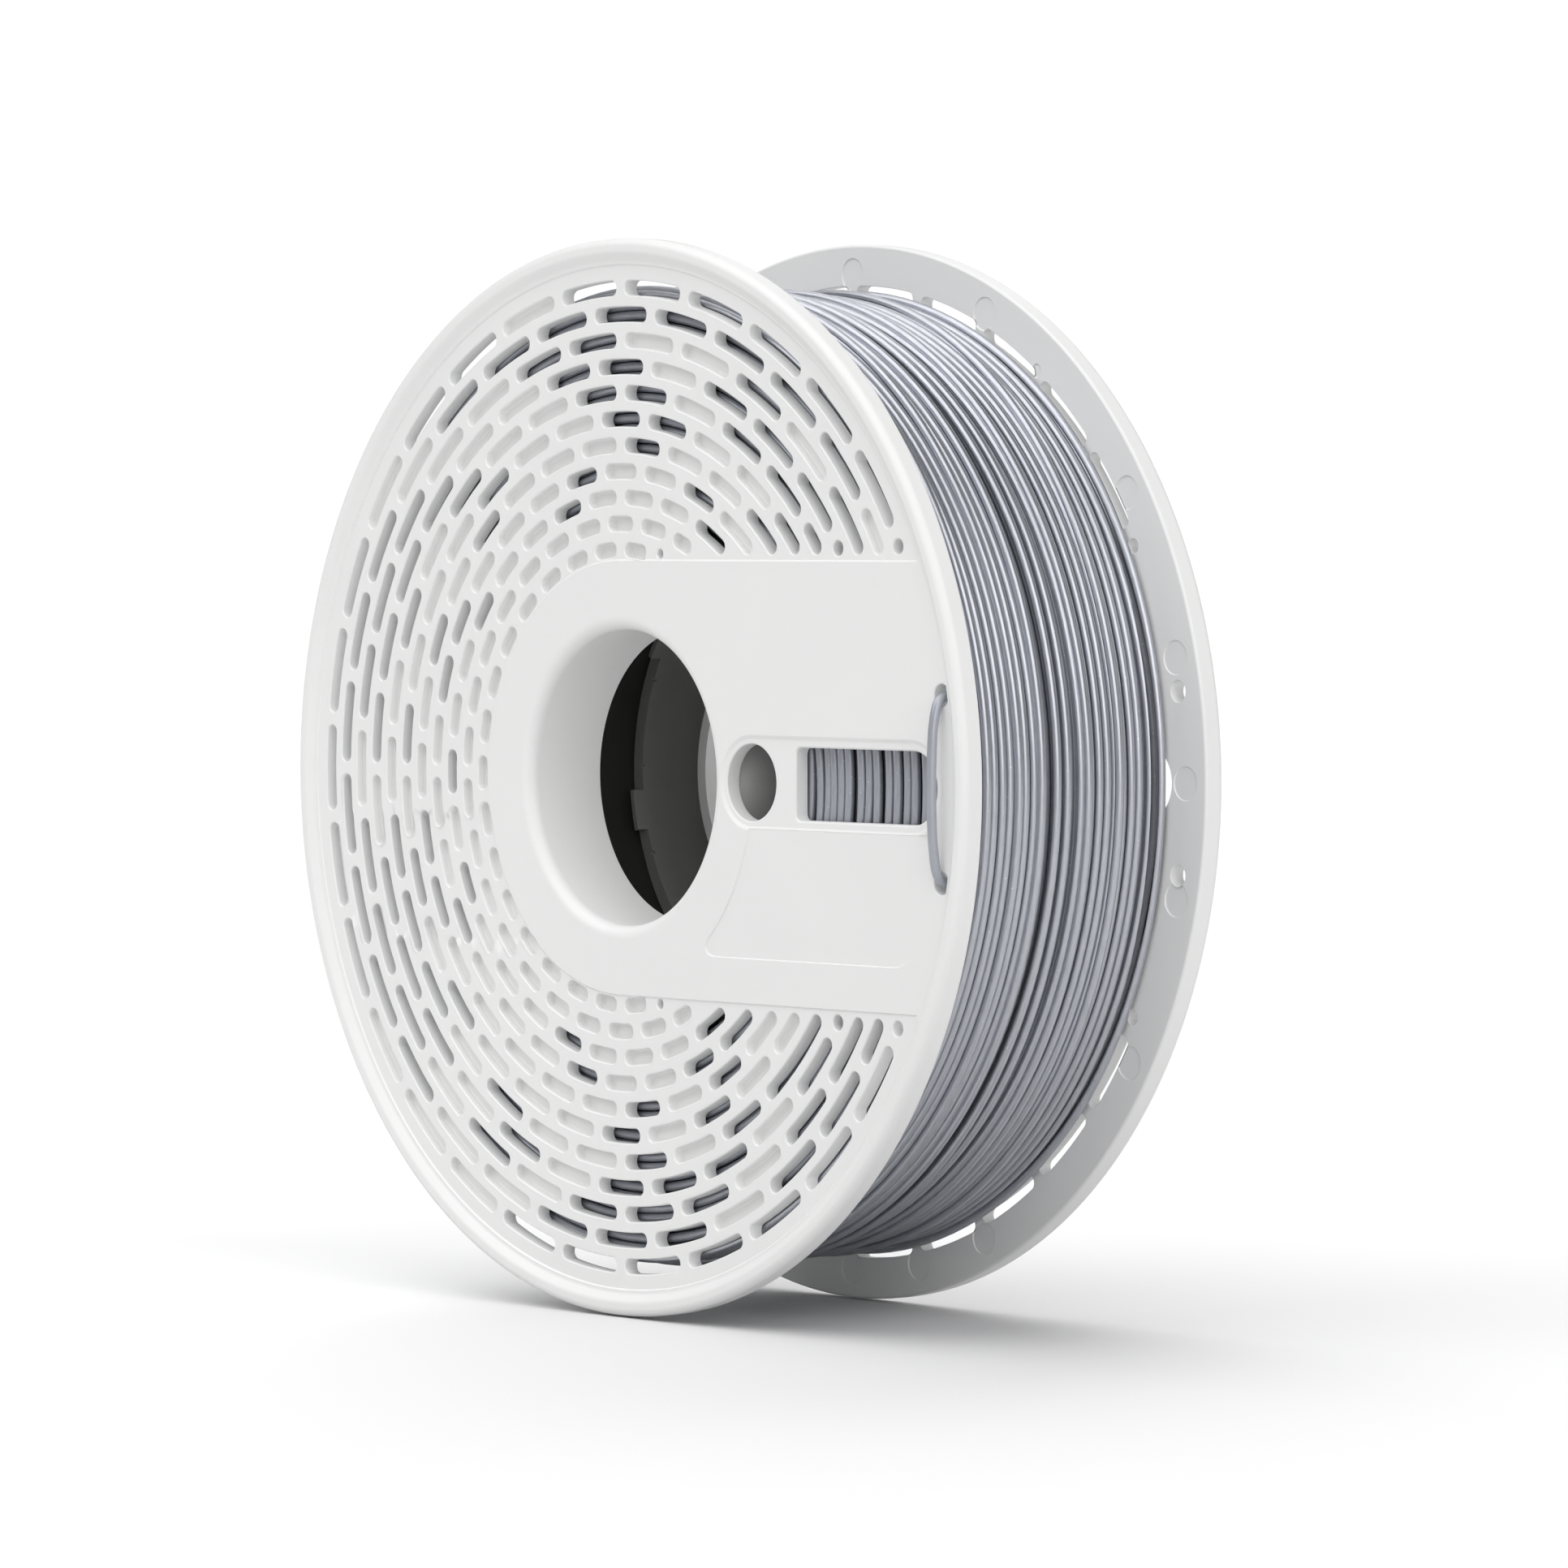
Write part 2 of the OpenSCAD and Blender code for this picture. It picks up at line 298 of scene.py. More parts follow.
def contour(distance, start_points, offset):
    """Moves points onto the curve where distance is offset, by following its slope."""
    p = np.array(start_points, float)
    h = 0.01
    for _ in range(8):
        d = distance(p[:, 0], p[:, 1]) - offset
        gx = (distance(p[:, 0] + h, p[:, 1]) - distance(p[:, 0] - h, p[:, 1])) / (2 * h)
        gz = (distance(p[:, 0], p[:, 1] + h) - distance(p[:, 0], p[:, 1] - h)) / (2 * h)
        size = np.maximum(gx * gx + gz * gz, 0.2)
        p -= np.column_stack([gx, gz]) * (d / size)[:, None]
    return p


def dense(corners, step):
    """A closed polyline through the corners, with a point about every step."""
    points = []
    for a, b in zip(corners, corners[1:] + corners[:1]):
        a, b = np.array(a, float), np.array(b, float)
        n = max(1, int(np.linalg.norm(b - a) / step))
        points.append(a + (b - a) * np.linspace(0, 1, n, endpoint=False)[:, None])
    return np.concatenate(points)


def round_points(r, start, end, step=2.5):
    n = max(2, int(abs(math.radians(end - start)) * r / step))
    a = np.radians(np.linspace(start, end, n))
    return [(r * math.cos(t), r * math.sin(t)) for t in a]


def inside_polygon(polygon, x, z):
    x0, z0 = polygon.min(axis=0)
    x1, z1 = polygon.max(axis=0)
    near = np.flatnonzero((x > x0) & (x < x1) & (z > z0) & (z < z1))
    px, pz = x[near], z[near]
    odd = np.zeros(len(near), bool)
    for (ax, az), (bx, bz) in zip(polygon, np.roll(polygon, -1, axis=0)):
        if az == bz:
            continue
        odd ^= ((az > pz) != (bz > pz)) & (px < (bx - ax) * (pz - az) / (bz - az) + ax)
    return near[odd]


def flat_face(shell, outer, holes, lines, level, depth, facing):
    """Fills the space between outer and holes at a level, with an edge along each extra closed line."""
    loops = [outer, *holes, *lines]
    coords, edges = [], []
    for loop in loops:
        first = len(coords)
        coords.extend(Vector((float(x), float(z))) for x, z in loop)
        edges.extend((first + i, first + (i + 1) % len(loop)) for i in range(len(loop)))
    found, _, triangles, _, _, _ = delaunay_2d_cdt(coords, edges, [], 0, 1e-5, False)
    plane = np.array([(v.x, v.y) for v in found])
    triangles = np.array(triangles)
    middle = plane[triangles].mean(axis=1)
    keep = np.zeros(len(triangles), bool)
    keep[inside_polygon(np.asarray(outer), middle[:, 0], middle[:, 1])] = True
    for hole in holes:
        keep[inside_polygon(np.asarray(hole), middle[:, 0], middle[:, 1])] = False
    x, z = plane[:, 0], plane[:, 1]
    sunk = depth(x, z) if depth else np.zeros_like(x)
    normals = relief(depth, x, z) if depth else np.broadcast_to([0.0, -1.0, 0.0], (len(x), 3)).copy()
    if facing > 0:
        normals = normals * [1, -1, 1]
    first = shell.add(np.column_stack([x, level - facing * sunk, z]), normals)
    shell.faces.extend((triangles[keep] + first).tolist())


def lift(points, y):
    return np.column_stack([points[:, 0], np.broadcast_to(y, len(points)), points[:, 1]])


def along_wall(ways):
    return np.column_stack([-ways[:, 0], np.zeros(len(ways)), -ways[:, 1]])


def hole_walls(shell, outline, is_open, edge=EDGE):
    """Rounded mouth, wall, and then either the back edge or the floor of a pocket."""
    mouth, ways = outline(edge)
    top = BAND_FACE + float(np.median(face_depth(mouth[:, 0], mouth[:, 1])))
    wall = along_wall(ways)
    face = np.array([0.0, -1.0, 0.0])
    rings = []
    for t in (0, 30, 60, 90):
        s, c = math.sin(math.radians(t)), math.cos(math.radians(t))
        points, _ = outline(edge - edge * s)
        y = top + edge - edge * c
        if t == 0:
            y = BAND_FACE + face_depth(points[:, 0], points[:, 1])
        rings.append((lift(points, y), wall * s + face * c))
    if is_open:
        for t in (0, 45, 90):
            s, c = math.sin(math.radians(t)), math.cos(math.radians(t))
            points, _ = outline(BACK_EDGE - BACK_EDGE * c)
            rings.append((lift(points, INNER_FACE - BACK_EDGE + BACK_EDGE * s), wall * c - face * s))
        shell.loft(rings)
        return
    floor = BAND_FACE + ZONE_DEPTH + POCKET_DEPTH
    for t in (0, 30, 60, 90):
        s, c = math.sin(math.radians(t)), math.cos(math.radians(t))
        points, _ = outline(-POCKET_FOOT + POCKET_FOOT * c)
        rings.append((lift(points, floor - POCKET_FOOT + POCKET_FOOT * s), wall * c + face * s))
    shell.loft(rings)
    first = shell.add(rings[-1][0], face)
    shell.faces.append(list(range(first, first + len(rings[-1][0]))))


def rim_profile():
    """Radius, Y and normal from the band over the lip and round the outer edge to the inner face."""
    rows = [
        (FACE_R, BAND_FACE, 0, -1),
        (FACE_R + 0.4, BAND_FACE - 0.12, -0.28, -0.96),
        (FACE_R + 0.7, BAND_FACE - 0.28, -0.51, -0.86),
        (FACE_R + 1.65, RIM_FACE + 0.28, -0.51, -0.86),
        (FACE_R + 2.0, RIM_FACE + 0.1, -0.28, -0.96),
        (FACE_R + 2.4, RIM_FACE, 0, -1),
        (RIM_R - LIP_ROUND, RIM_FACE, 0, -1),
    ]
    for t in range(15, 91, 15):
        s, c = math.sin(math.radians(t)), math.cos(math.radians(t))
        rows.append((RIM_R - LIP_ROUND + LIP_ROUND * s, RIM_FACE + LIP_ROUND - LIP_ROUND * c, s, -c))
    for t in range(0, 91, 30):
        s, c = math.sin(math.radians(t)), math.cos(math.radians(t))
        rows.append((RIM_R - REAR_ROUND + REAR_ROUND * c, INNER_FACE - REAR_ROUND + REAR_ROUND * s, c, s))
    return rows


def flange_outlines():
    """Every hole as (outline for a growth, open or not, rounding of its mouth)."""
    outlines = []
    for r, start, end, is_open in slots():
        if start == end:
            x, z = r * math.cos(math.radians(start)), r * math.sin(math.radians(start))
            outlines.append((lambda g, x=x, z=z: circle_outline(x, z, SLOT_HALF, g, 24), is_open, EDGE))
        else:
            outlines.append((lambda g, r=r, a=start, b=end: slot_outline(r, a, b, g), is_open, EDGE))
    for side in (-1, 1):
        a = math.radians(side * DIMPLE_ANGLE)
        x, z = DIMPLE_AT * math.cos(a), DIMPLE_AT * math.sin(a)
        outlines.append((lambda g, x=x, z=z: circle_outline(x, z, DIMPLE_R, g, 20), False, EDGE))
        z = side * TAIL_HOLE_Z
        outlines.append((lambda g, z=z: circle_outline(TAIL_X, z, TAIL_HOLE_R, g, 28), True, EDGE))
    outlines.append((window_outline, True, WINDOW_EDGE))
    outlines.append((lambda g: circle_outline(PEG_X, 0, PEG_R, g, 64), True, EDGE))
    return outlines


def flange_shell():
    shell = Shell()
    turn = np.radians(np.linspace(0, 360, 240, endpoint=False))
    way = np.column_stack([np.cos(turn), np.sin(turn)])
    rings = []
    for r, y, nr, ny in rim_profile():
        normals = np.column_stack([way[:, 0] * nr, np.full(len(way), ny), way[:, 1] * nr])
        rings.append((lift(way * r, y), normals))
    shell.loft(rings)
    outlines = flange_outlines()
    for outline, is_open, edge in outlines:
        hole_walls(shell, outline, is_open, edge)

    # Rough loops near each step in the face, which contour() then moves onto the step
    bore = circle_outline(0, 0, HUB_R, 0, 120)[0]
    zone_corner = 85.6
    zone = dense(round_points(ZONE_R, 26, 334) + [(zone_corner, -BAND_HALF), (0, -BAND_HALF)]
                 + round_points(BAND_HALF, 269, 91) + [(0, BAND_HALF), (zone_corner, BAND_HALF)], 2.5)
    ends = np.linspace(0.05, math.pi - 0.05, 26)
    recess = dense([(WINDOW_END_X + RECESS_R * math.sin(t), -RECESS_R * math.cos(t)) for t in ends]
                   + [(PEG_X - RECESS_R * math.sin(t), RECESS_R * math.cos(t)) for t in ends], 0.7)
    inner, outer = ([(r * math.cos(t), r * math.sin(t)) for t in np.linspace(start, end, 24)]
                    for r, start, end in ((LABEL_INNER_R, -0.23, -0.97), (LABEL_OUTER_R, -0.366, -0.1)))
    label = dense([(38.1, -RECESS_R)] + inner + [(22.2, LABEL_LOW), (83.6, LABEL_LOW)] + outer, 0.7)
    lines = [contour(zone_distance, zone, ZONE_STEP * t) for t in (-0.53, -0.25, 0, 0.25, 0.53)]
    lines += [contour(recess_distance, recess, RECESS_STEP * t) for t in (-0.53, -0.25, 0, 0.25, 0.53)]
    lines += [contour(label_distance, label, LABEL_STEP * t) for t in (-0.53, -0.2, 0.2, 0.53)]
    mouths = [outline(edge)[0] for outline, _, edge in outlines]
    flat_face(shell, way * FACE_R, [bore, *mouths], lines, BAND_FACE, face_depth, -1)

    marks = [circle_outline(x, z, r, MARK_EDGE * g, 40)[0]
             for x, z, r in MARKS for g in (-0.56, -0.25, 0, 0.25, 0.56)]
    backs = [outline(BACK_EDGE)[0] for outline, is_open, _ in outlines if is_open]
    flat_face(shell, way * (RIM_R - REAR_ROUND), [bore, *backs], marks, INNER_FACE, back_depth, 1)
    return shell


# ---------------------------------------------------------------- materials
def new_material(name):
    material = bpy.data.materials.new(name)
    material.use_nodes = True
    tree = material.node_tree
    return material, tree.nodes, tree.links, tree.nodes["Principled BSDF"]


def noise(tree_nodes, tree_links, vector, scale, detail=3.0, roughness=0.5):
    node = tree_nodes.new("ShaderNodeTexNoise")
    node.inputs["Scale"].default_value = scale
    node.inputs["Detail"].default_value = detail
    node.inputs["Roughness"].default_value = roughness
    tree_links.new(vector, node.inputs["Vector"])
    return node.outputs["Fac"]


def ramp(tree_nodes, tree_links, value, stops):
    node = tree_nodes.new("ShaderNodeValToRGB")
    while len(node.color_ramp.elements) < len(stops):
        node.color_ramp.elements.new(0.5)
    for element, (place, colour) in zip(node.color_ramp.elements, stops):
        element.position = place
        element.color = (*colour, 1)
    tree_links.new(value, node.inputs["Fac"])
    return node.outputs["Color"]


def add_bump(tree_nodes, tree_links, bsdf, height, strength, distance, before=None):
    node = tree_nodes.new("ShaderNodeBump")
    node.inputs["Strength"].default_value = strength
    node.inputs["Distance"].default_value = distance
    tree_links.new(height, node.inputs["Height"])
    if before is not None:
        tree_links.new(before, node.inputs["Normal"])
    tree_links.new(node.outputs["Normal"], bsdf.inputs["Normal"])
    return node.outputs["Normal"]


def moulded_plastic(name, light, dark, roughness, rough_range, grain, grain_strength):
    """Satin moulded plastic: a fine eroded grain, slow flow variation in colour, and uneven gloss."""
    material, n, l, bsdf = new_material(name)
    place = n.new("ShaderNodeTexCoord").outputs["Object"]
    flow = noise(n, l, place, 22, 4, 0.55)
    l.new(ramp(n, l, flow, [(0.3, dark), (0.7, light)]), bsdf.inputs["Base Color"])
    gloss = n.new("ShaderNodeMapRange")
    gloss.inputs["To Min"].default_value = roughness - rough_range
    gloss.inputs["To Max"].default_value = roughness + rough_range
    l.new(noise(n, l, place, 160, 3), gloss.inputs["Value"])
    l.new(gloss.outputs["Result"], bsdf.inputs["Roughness"])
    fine = noise(n, l, place, grain, 2, 0.6)
    first = add_bump(n, l, bsdf, fine, grain_strength, 0.00004)
    add_bump(n, l, bsdf, flow, 0.06, 0.0004, first)
    bsdf.inputs["Specular IOR Level"].default_value = 0.42
    return material


white = moulded_plastic(
    "white_moulded_plastic", (0.845, 0.845, 0.84), (0.825, 0.825, 0.822), 0.42, 0.05, 3200, 0.10)
# Painted shade: a near-black copy of the sleeve plastic, for the front sleeve whose inner wall lies in
# shade
sleeve_painted_shade = moulded_plastic(
    "sleeve_plastic_painted_shade", (0.045, 0.044, 0.042), (0.036, 0.035, 0.034), 0.55, 0.06, 2600, 0.2)
charcoal = moulded_plastic(
    "charcoal_moulded_plastic", (0.36, 0.36, 0.35), (0.33, 0.33, 0.32), 0.5, 0.06, 2600, 0.2)


def filament_plastic(name, light, dark, speck, roughness, metallic):
    """Silver-grey filament: drawn lines along the strand, and small bright flakes under the surface."""
    material, n, l, bsdf = new_material(name)
    along = n.new("ShaderNodeUVMap")
    along.uv_map = "along"
    place = n.new("ShaderNodeTexCoord").outputs["Object"]
    stretch = n.new("ShaderNodeMapping")
    stretch.inputs["Scale"].default_value = (9, 0.16, 1)
    l.new(along.outputs["UV"], stretch.inputs["Vector"])
    drawn = noise(n, l, stretch.outputs["Vector"], 1.6, 3, 0.6)
    body = ramp(n, l, drawn, [(0.28, dark), (0.72, light)])
    cells = n.new("ShaderNodeTexVoronoi")
    cells.inputs["Scale"].default_value = 5200
    l.new(place, cells.inputs["Vector"])
    flakes = ramp(n, l, cells.outputs["Color"], [(0.93, (0, 0, 0)), (0.98, (1, 1, 1))])
    mix = n.new("ShaderNodeMix")
    mix.data_type = "RGBA"
    l.new(flakes, mix.inputs["Factor"])
    l.new(body, mix.inputs["A"])
    mix.inputs["B"].default_value = (*speck, 1)
    l.new(mix.outputs["Result"], bsdf.inputs["Base Color"])
    gloss = n.new("ShaderNodeMapRange")
    gloss.inputs["To Min"].default_value = roughness + 0.05
    gloss.inputs["To Max"].default_value = roughness - 0.05
    l.new(drawn, gloss.inputs["Value"])
    l.new(gloss.outputs["Result"], bsdf.inputs["Roughness"])
    first = add_bump(n, l, bsdf, drawn, 0.15, 0.00006)
    add_bump(n, l, bsdf, noise(n, l, place, 4200, 2), 0.06, 0.00003, first)
    bsdf.inputs["Metallic"].default_value = metallic
    bsdf.inputs["Specular IOR Level"].default_value = 0.5
    return material


filament = filament_plastic(
    "silver_filament", (0.60, 0.615, 0.66), (0.49, 0.505, 0.55), (0.85, 0.86, 0.9), 0.34, 0.9)
filament_shaded = filament_plastic(
    "silver_filament_shaded", (0.46, 0.475, 0.52), (0.36, 0.375, 0.42), (0.8, 0.81, 0.85), 0.36, 0.45)
# Painted shade: a near-black copy of the filament, for the rings sunk between strands, so the gaps read
# as shade
filament_painted_shade = filament_plastic(
    "silver_filament_painted_shade", (0.12, 0.125, 0.14), (0.08, 0.085, 0.1), (0.25, 0.25, 0.27), 0.4, 0.4)
filament_light = filament_plastic(
    "silver_filament_outer", (0.42, 0.435, 0.48), (0.38, 0.395, 0.44), (0.5, 0.52, 0.56), 0.34, 0.4)
shade, _, _, shade_bsdf = new_material("winding_shadow")
shade_tree = shade.node_tree
shade_place = shade_tree.nodes.new("ShaderNodeTexCoord").outputs["Object"]
shade_tree.links.new(
    ramp(shade_tree.nodes, shade_tree.links, noise(shade_tree.nodes, shade_tree.links, shade_place, 500),
         [(0.3, (0.03, 0.032, 0.038)), (0.7, (0.05, 0.053, 0.06))]), shade_bsdf.inputs["Base Color"])
shade_bsdf.inputs["Roughness"].default_value = 0.6


# ---------------------------------------------------------------- flanges, collars and core
def keep_with(node, material):
    """Shows the CAD node itself, in a material."""
    piece = nodes[node]
    piece.data.materials.clear()
    piece.data.materials.append(material)


shell = flange_shell()
front = shell.build("front_flange_moulding", white)
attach(front, "front_half")
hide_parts("front_flange")
# The rear flange is the same moulding, turned over about the band's middle line
for part in (shell.points, shell.normals):
    part[:] = [p * [1, -1, -1] for p in part]
rear = shell.build("rear_flange_moulding", white)
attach(rear, "rear_half")
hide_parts("rear_flange")
for name in ("front_bore_collar", "rear_bore_collar"):
    keep_with(name, white)
# The front sleeve's near-black colour is painted shade
keep_with("front_core_sleeve", sleeve_painted_shade)
keep_with("rear_core_sleeve", charcoal)


# ---------------------------------------------------------------- filament
def sweep(shell, path, closed=False, sides=8):
    """A round strand along a path of points, with lengthwise coordinates for the drawn lines."""
    path = np.asarray(path, float)
    if closed:
        along = np.roll(path, -1, axis=0) - np.roll(path, 1, axis=0)
    else:
        along = np.gradient(path, axis=0)
    along /= np.linalg.norm(along, axis=1)[:, None]
    ref = path * [1, 0, 1]
    ref -= along * (ref * along).sum(axis=1)[:, None]
    u = ref / np.linalg.norm(ref, axis=1)[:, None]
    v = np.cross(along, u)
    gaps = np.linalg.norm(np.diff(path, axis=0, append=path[:1]), axis=1)
    length = np.concatenate([[0], np.cumsum(gaps)[:-1]])
    if closed:
        path, u, v = (np.concatenate([a, a[:1]]) for a in (path, u, v))
        length = np.append(length, length[-1] + gaps[-1])
    turn = np.linspace(0, 2 * math.pi, sides + 1)
    rings, uvs = [], []
    for p, a, b, s in zip(path, u, v, length):
        way = np.cos(turn)[:, None] * a + np.sin(turn)[:, None] * b
        rings.append((p + STRAND_R * way, way))
        uvs.append(np.column_stack([turn / (2 * math.pi), np.full(sides + 1, s)]))
    shell.loft(rings, closed=False, uvs=uvs)


def waves(angle, size, lowest, highest, count=4):
    """A smooth random curve over an angle in radians that closes after a turn."""
    total = np.zeros_like(angle)
    for k in rng.integers(lowest, highest + 1, count):
        total += rng.normal(0, 1) * np.sin(k * angle + rng.uniform(0, 2 * math.pi))
    return size * total / math.sqrt(count)


def ring_path(angle, radius, y):
    """Points round the axis, in millimetres."""
    return np.column_stack(
        [radius * np.cos(angle), np.broadcast_to(y, angle.shape), radius * np.sin(angle)])


Y0, Y1 = coil_lo[1] + STRAND_R, coil_hi[1] - STRAND_R     # where the end turns' centres lie
WINDOW_SAG = 1.1
CORE_TOP_R, CORE_FOOT_R, CORE_INSET = COIL_R - 4.4, 50.5, 1.1
UNDER_R, OUTER_R, LAST_R, SIDE_R = COIL_R - 3.15, COIL_R - 1.6, COIL_R - 0.6, COIL_R - 3.3
INNER_TURN_R = 51.2
SIDE_PITCH = 1.9
STEPS = 150


def sag(angle, y):
    """How much lower the winding lies beside the rear window than elsewhere."""
    return WINDOW_SAG * np.maximum(np.cos(angle), 0) ** 8 * (y - Y0) / (Y1 - Y0)


circle_angle = np.linspace(0, 2 * math.pi, STEPS, endpoint=False)
turn_angle = np.linspace(0, 2 * math.pi, STEPS + 1)

# The inside of the winding, seen only between strands, as a sheet in painted shade
core = Shell()
core_angle = np.linspace(0, 2 * math.pi, 120, endpoint=False)
core_y0, core_y1 = Y0 + CORE_INSET, Y1 - CORE_INSET
core_rings = []
for r, y, nr, ny in ((CORE_FOOT_R, core_y0, 0, -1), (CORE_TOP_R, core_y0, 0, -1),
                     (CORE_TOP_R, core_y0, 1, 0), (CORE_TOP_R, core_y1, 1, 0),
                     (CORE_TOP_R, core_y1, 0, 1), (CORE_FOOT_R, core_y1, 0, 1)):
    normals = np.column_stack(
        [nr * np.cos(core_angle), np.full(len(core_angle), ny), nr * np.sin(core_angle)])
    core_rings.append((ring_path(core_angle, r, y), normals))
for a, b in ((0, 1), (2, 3), (4, 5)):
    core.loft([core_rings[a], core_rings[b]])
core_piece = core.build("coil_core_painted_shade", shade)

under = Shell()
under_turns = 27
for i in range(under_turns + 1):
    y = Y0 + i * ((Y1 - Y0) / under_turns) + waves(circle_angle, 0.14, 1, 3)
    y = np.clip(y, Y0, Y1)
    radius = UNDER_R + waves(circle_angle, 0.05, 1, 4) - sag(circle_angle, y)
    sweep(under, ring_path(circle_angle, radius, y), closed=True, sides=8)
under_piece = under.build("coil_under_layer", filament_shaded)


def wound_layer(pitches, shares, radius, wander, starts):
    """One strand wound from flange to flange; each turn steps along by a pitch drawn at random."""
    turn_y = list(starts)
    while turn_y[-1] < Y1 - 1.6:
        turn_y.append(turn_y[-1] + rng.choice(pitches, p=shares))
    turn_y = np.append(Y0 + (np.array(turn_y) - Y0) * (Y1 - Y0) / (turn_y[-1] - Y0), Y1)
    path = []
    for here, after in zip(turn_y, turn_y[1:]):
        from_jump = turn_angle / (2 * math.pi) - rng.uniform(0.25, 0.75)
        y = here + (after - here) * smooth_step((from_jump + 0.2) / 0.4)
        y = np.clip(y + waves(turn_angle, wander, 1, 3) * np.sin(turn_angle / 2), Y0, Y1)
        lifted = 0.15 * np.exp(-((from_jump / 0.15) ** 2))
        path.append(ring_path(turn_angle, radius + lifted - sag(turn_angle, y), y)[:-1])
    shell = Shell()
    sweep(shell, np.concatenate(path), sides=10)
    return shell


outer_layer = wound_layer(
    [1.8, 1.95, 2.15, 2.6, 3.2], [0.33, 0.29, 0.16, 0.13, 0.09], OUTER_R, 0.3, [Y0, Y0 + 0.1])
outer_piece = outer_layer.build("coil_outer_layer", filament)
last_turns = wound_layer([3.8, 5.6, 7.8, 10.5], [0.3, 0.3, 0.25, 0.15], LAST_R, 1.1, [Y0 + 0.4])
last_piece = last_turns.build("coil_last_turns", filament)

# On each side the strands lie close together, but across the window's band some slip behind and
# leave the rest room to spread out
SLIP, RECESS_OFFSET, RECESSED_BY = 4.5, 1.3, 1.5
sides, recessed = Shell(), Shell()
for face, inward in ((Y0, 1), (Y1, -1)):
    close = np.arange(SIDE_R, INNER_TURN_R, -SIDE_PITCH)
    spread = [SIDE_R]
    while spread[-1] > INNER_TURN_R:
        spread.append(spread[-1] - rng.choice([2.05, 2.25, 2.75, 3.2], p=[0.3, 0.25, 0.2, 0.25]))
    slipped = set(rng.choice(len(close), max(len(close) - len(spread), 0), replace=False))
    shown = iter(spread)
    for i, r in enumerate(close):
        across = np.abs(r * np.sin(circle_angle))
        near = (1 - smooth_step((across - 8) / 14)) * (np.cos(circle_angle) > 0)
        y = face + inward * (rng.uniform(0.0, 0.2) + np.abs(waves(circle_angle, 0.08, 1, 5)))
        wobble = waves(circle_angle, 0.08 + 0.12 * near, 2, 7)
        if i in slipped:
            y = y + inward * SLIP * near
            radius = r + wobble
        else:
            radius = r + (next(shown, r) - r) * near + wobble
        sweep(sides, ring_path(circle_angle, radius, y), closed=True, sides=12)
        if i not in slipped:
            behind = ring_path(circle_angle, radius + RECESS_OFFSET, face + inward * RECESSED_BY)
            sweep(recessed, behind, closed=True, sides=8)
side_piece = sides.build("coil_side_windings", filament_shaded)
# The recessed rings carry the near-black copy of the filament: painted shade in the gaps
recessed_piece = recessed.build("coil_recessed_windings", filament_painted_shade)
for piece in (core_piece, under_piece, outer_piece, last_piece, side_piece, recessed_piece):
    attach(piece, "front_half")
    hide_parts("filament_coil")


def polar_point(r, a, y):
    return (r * math.cos(math.radians(a)), y, r * math.sin(math.radians(a)))


def rounded_route(route, per=6):
    """Catmull-Rom curve through the points of a route."""
    p = np.array([route[0], *route, route[-1]], float)
    out = []
    for i in range(1, len(p) - 2):
        for t in np.linspace(0, 1, per, endpoint=False):
            a, b, c, d = p[i - 1], p[i], p[i + 1], p[i + 2]
            out.append(0.5 * (2 * b + (c - a) * t + (2 * a - 5 * b + 4 * c - d) * t * t
                              + (3 * b - a - 3 * c + d) * t ** 3))
    return out + [p[-1]]


# The routes of the strand's two ends, as the CAD has them; the outer one starts earlier on the coil
TAIL_ROUTE = [
    polar_point(90.2, 120, -24.6), polar_point(90.2, 100, -24.4), polar_point(90.4, 80, -24.2),
    polar_point(91.2, 62, -24), polar_point(92, 50, -23.8), polar_point(92.2, 44, -23.8),
    polar_point(92.2, 38, -23.8), polar_point(92.3, 32, -23.8), polar_point(92.5, 26, -23.8),
    polar_point(93.1, 20, -23.8),
    (91.2, -23.8, 23.6), (92.1, -24.1, 20.4), (TAIL_X, -24.9, 18.6), (TAIL_X, -26, 17.6),
    (TAIL_X, -27.2, 17), (TAIL_X, -28.5, 16.6), (TAIL_X, -29.7, 16.1), (TAIL_X, -30.5, 15.4),
    (TAIL_X, -31, 14.2), (TAIL_X, -31.4, 12.5), (TAIL_X, -31.8, 9.5), (TAIL_X, -32, 5),
    (TAIL_X, -32.1, 0.5), (TAIL_X, -32, -4), (TAIL_X, -31.8, -8.5), (TAIL_X, -31.4, -12.1),
    (TAIL_X, -31, -14.2), (TAIL_X, -30.5, -15.4), (TAIL_X, -29.7, -16.1), (TAIL_X, -28.5, -16.6),
    (TAIL_X, -27.2, -17), (TAIL_X, -26, -17.6), (TAIL_X, -24.9, -18.6), (92.1, -23.9, -20.6),
    (91.6, -23.1, -23.4),
]
ANCHOR_ROUTE = [
    polar_point(50, 60, -20), polar_point(48, 60, -20), polar_point(46.4, 60.2, -20),
    polar_point(45.4, 61.2, -20), polar_point(45, 63, -20), polar_point(45, 67, -20),
    polar_point(45.1, 72, -20), polar_point(45.2, 78, -20),
]


def strand_piece(name, route, node, material):
    strand, sides = Shell(), 20
    smooth = np.array(rounded_route(route))
    sweep(strand, smooth, sides=sides)
    rings = strand.points
    for ring, tip, before in ((rings[0], smooth[0], smooth[1]), (rings[-1], smooth[-1], smooth[-2])):
        first = strand.add(ring[:-1], (tip - before) / np.linalg.norm(tip - before))
        strand.faces.append(list(range(first, first + sides)))
    piece = strand.build(name, material)
    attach(piece, "front_half")
    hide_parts(node)


strand_piece("outer_end_loop", TAIL_ROUTE, "filament_outer_end", filament_light)
strand_piece("inner_end_anchor", ANCHOR_ROUTE, "filament_inner_end", filament)

